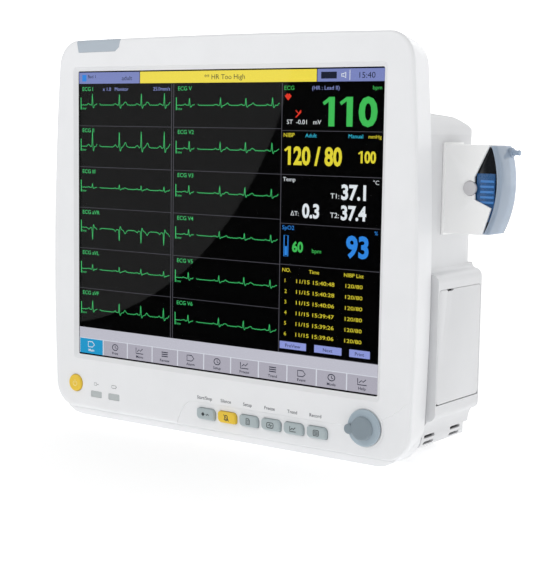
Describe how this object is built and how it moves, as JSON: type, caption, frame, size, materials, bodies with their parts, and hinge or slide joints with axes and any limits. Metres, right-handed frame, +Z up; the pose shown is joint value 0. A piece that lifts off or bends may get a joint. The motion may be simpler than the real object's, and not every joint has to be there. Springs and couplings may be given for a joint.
{
  "type": "patient monitor",
  "caption": "Bedside patient monitor with a large touch screen, soft keys, a rotary knob, a side paper recorder and a pull-out gas water trap.",
  "frame": {"origin": "centre of the underside of the base plate, at the standing level", "axes": "+X to the viewer's right, +Y from the screen to the back, +Z up"},
  "size_m": [0.4552, 0.1472, 0.3621],
  "materials": {
    "white_shell": "fine satin moulding",
    "rubber": "matte",
    "steel": "zinc plated",
    "circuit_board": "solder mask",
    "key_grey": "soft satin",
    "key_yellow": "soft satin",
    "knob_grey": "satin",
    "screen_glass": "gloss",
    "display_panel": "gloss, dark",
    "alarm_lens": "gloss, translucent",
    "led_window": "gloss, translucent",
    "battery_wrap": "shrink wrap",
    "manifold_plastic": "moulded",
    "bench_metal": "anodised",
    "trap_blue": "gloss",
    "trap_clear": "gloss, translucent",
    "button_grey": "satin",
    "panel_grey": "satin",
    "socket_green": "satin",
    "socket_blue": "satin",
    "socket_brown": "satin",
    "brass": "knurled brass",
    "paper": "thermal paper",
    "black_plastic": "satin"
  },
  "bodies": {
    "housing": {"front_bezel": "white_shell", "screen_back": "white_shell", "rear_cover": "white_shell", "front_foot": "white_shell", "rubber_feet": "rubber", "base_plate": "steel", "touch_glass": "screen_glass", "screen_gasket": "rubber", "lcd_module": "display_panel", "keypad_mat": "rubber", "key_board": "circuit_board", "encoder": "steel", "alarm_lens": "alarm_lens", "alarm_board": "circuit_board", "led_windows": "led_window", "chassis": "steel", "main_board": "circuit_board", "parameter_board": "circuit_board", "power_supply": "steel", "battery_pack": "battery_wrap", "battery_tray": "steel", "nibp_pump": "black_plastic", "nibp_manifold": "manifold_plastic", "gas_bench": "bench_metal", "trap_holder": "white_shell", "trap_receptacle": "black_plastic", "speaker": "black_plastic", "fan_frame": "black_plastic", "side_panel": "panel_grey", "socket_ecg": "socket_green", "socket_spo2": "socket_blue", "sockets_temp": "socket_brown", "socket_nibp": "steel", "mains_inlet": "black_plastic", "ground_stud": "steel", "network_port": "steel", "usb_port": "steel", "cover_screws": "steel", "mount_inserts": "brass", "recorder_frame": "black_plastic", "print_head": "black_plastic"},
    "key_power": {"key_power": "key_yellow"},
    "key_1": {"key_1": "key_grey"},
    "key_2": {"key_2": "key_yellow"},
    "key_3": {"key_3": "key_grey"},
    "key_4": {"key_4": "key_grey"},
    "key_5": {"key_5": "key_grey"},
    "key_6": {"key_6": "key_grey"},
    "knob_push": {"push_stem": "steel"},
    "knob": {"knob_shaft": "steel", "knob": "knob_grey"},
    "trap": {"trap_body": "trap_blue", "trap_cover": "trap_clear"},
    "trap_release": {"trap_release": "button_grey"},
    "fan": {"fan_rotor": "black_plastic"},
    "recorder_door": {"recorder_door": "white_shell"},
    "door_latch": {"door_latch": "white_shell"},
    "platen": {"platen_roller": "rubber"},
    "paper": {"paper_roll": "paper"},
    "battery_door": {"battery_door": "white_shell"}
  },
  "joints": [
    {"name": "key_power_press", "type": "slide", "parent": "housing", "child": "key_power", "axis": [0, 1, 0], "range_m": [0, 0.0012], "stiffness_N_per_m": 700},
    {"name": "key_1_press", "type": "slide", "parent": "housing", "child": "key_1", "axis": [0, 1, 0], "range_m": [0, 0.0012], "stiffness_N_per_m": 700},
    {"name": "key_2_press", "type": "slide", "parent": "housing", "child": "key_2", "axis": [0, 1, 0], "range_m": [0, 0.0012], "stiffness_N_per_m": 700},
    {"name": "key_3_press", "type": "slide", "parent": "housing", "child": "key_3", "axis": [0, 1, 0], "range_m": [0, 0.0012], "stiffness_N_per_m": 700},
    {"name": "key_4_press", "type": "slide", "parent": "housing", "child": "key_4", "axis": [0, 1, 0], "range_m": [0, 0.0012], "stiffness_N_per_m": 700},
    {"name": "key_5_press", "type": "slide", "parent": "housing", "child": "key_5", "axis": [0, 1, 0], "range_m": [0, 0.0012], "stiffness_N_per_m": 700},
    {"name": "key_6_press", "type": "slide", "parent": "housing", "child": "key_6", "axis": [0, 1, 0], "range_m": [0, 0.0012], "stiffness_N_per_m": 700},
    {"name": "knob_press", "type": "slide", "parent": "housing", "child": "knob_push", "axis": [0, 1, 0], "range_m": [0, 0.0005], "stiffness_N_per_m": 1500},
    {"name": "knob_turn", "type": "hinge", "parent": "knob_push", "child": "knob", "pos_m": [0.1605, -0.065, 0.0322], "axis": [0, 1, 0], "continuous": true},
    {"name": "trap_slide", "type": "slide", "parent": "housing", "child": "trap", "axis": [1, 0, 0], "range_m": [0, 0.045]},
    {"name": "trap_release_press", "type": "slide", "parent": "housing", "child": "trap_release", "axis": [0, 1, 0], "range_m": [0, 0.0012], "stiffness_N_per_m": 700},
    {"name": "fan_spin", "type": "hinge", "parent": "housing", "child": "fan", "pos_m": [0.105, 0.051, 0.2355], "axis": [0, 1, 0], "continuous": true},
    {"name": "recorder_door_hinge", "type": "hinge", "parent": "housing", "child": "recorder_door", "pos_m": [0.2024, 0.0109, 0.059], "axis": [0, 1, 0], "range_deg": [0, 85]},
    {"name": "door_latch_slide", "type": "slide", "parent": "recorder_door", "child": "door_latch", "axis": [0, 0, -1], "range_m": [0, 0.0025], "stiffness_N_per_m": 500},
    {"name": "platen_turn", "type": "hinge", "parent": "recorder_door", "child": "platen", "pos_m": [0.196, 0.0109, 0.1405], "axis": [0, 1, 0], "continuous": true},
    {"name": "paper_turn", "type": "hinge", "parent": "housing", "child": "paper", "pos_m": [0.174, 0.0109, 0.0925], "axis": [0, 1, 0], "continuous": true},
    {"name": "battery_door_hinge", "type": "hinge", "parent": "housing", "child": "battery_door", "pos_m": [-0.1, 0.0596, 0.0255], "axis": [-1, 0, 0], "range_deg": [0, 80]}
  ],
  "couplings": [
    {"joint": "paper_turn", "follows": "platen_turn", "ratio": -0.25}
  ]
}
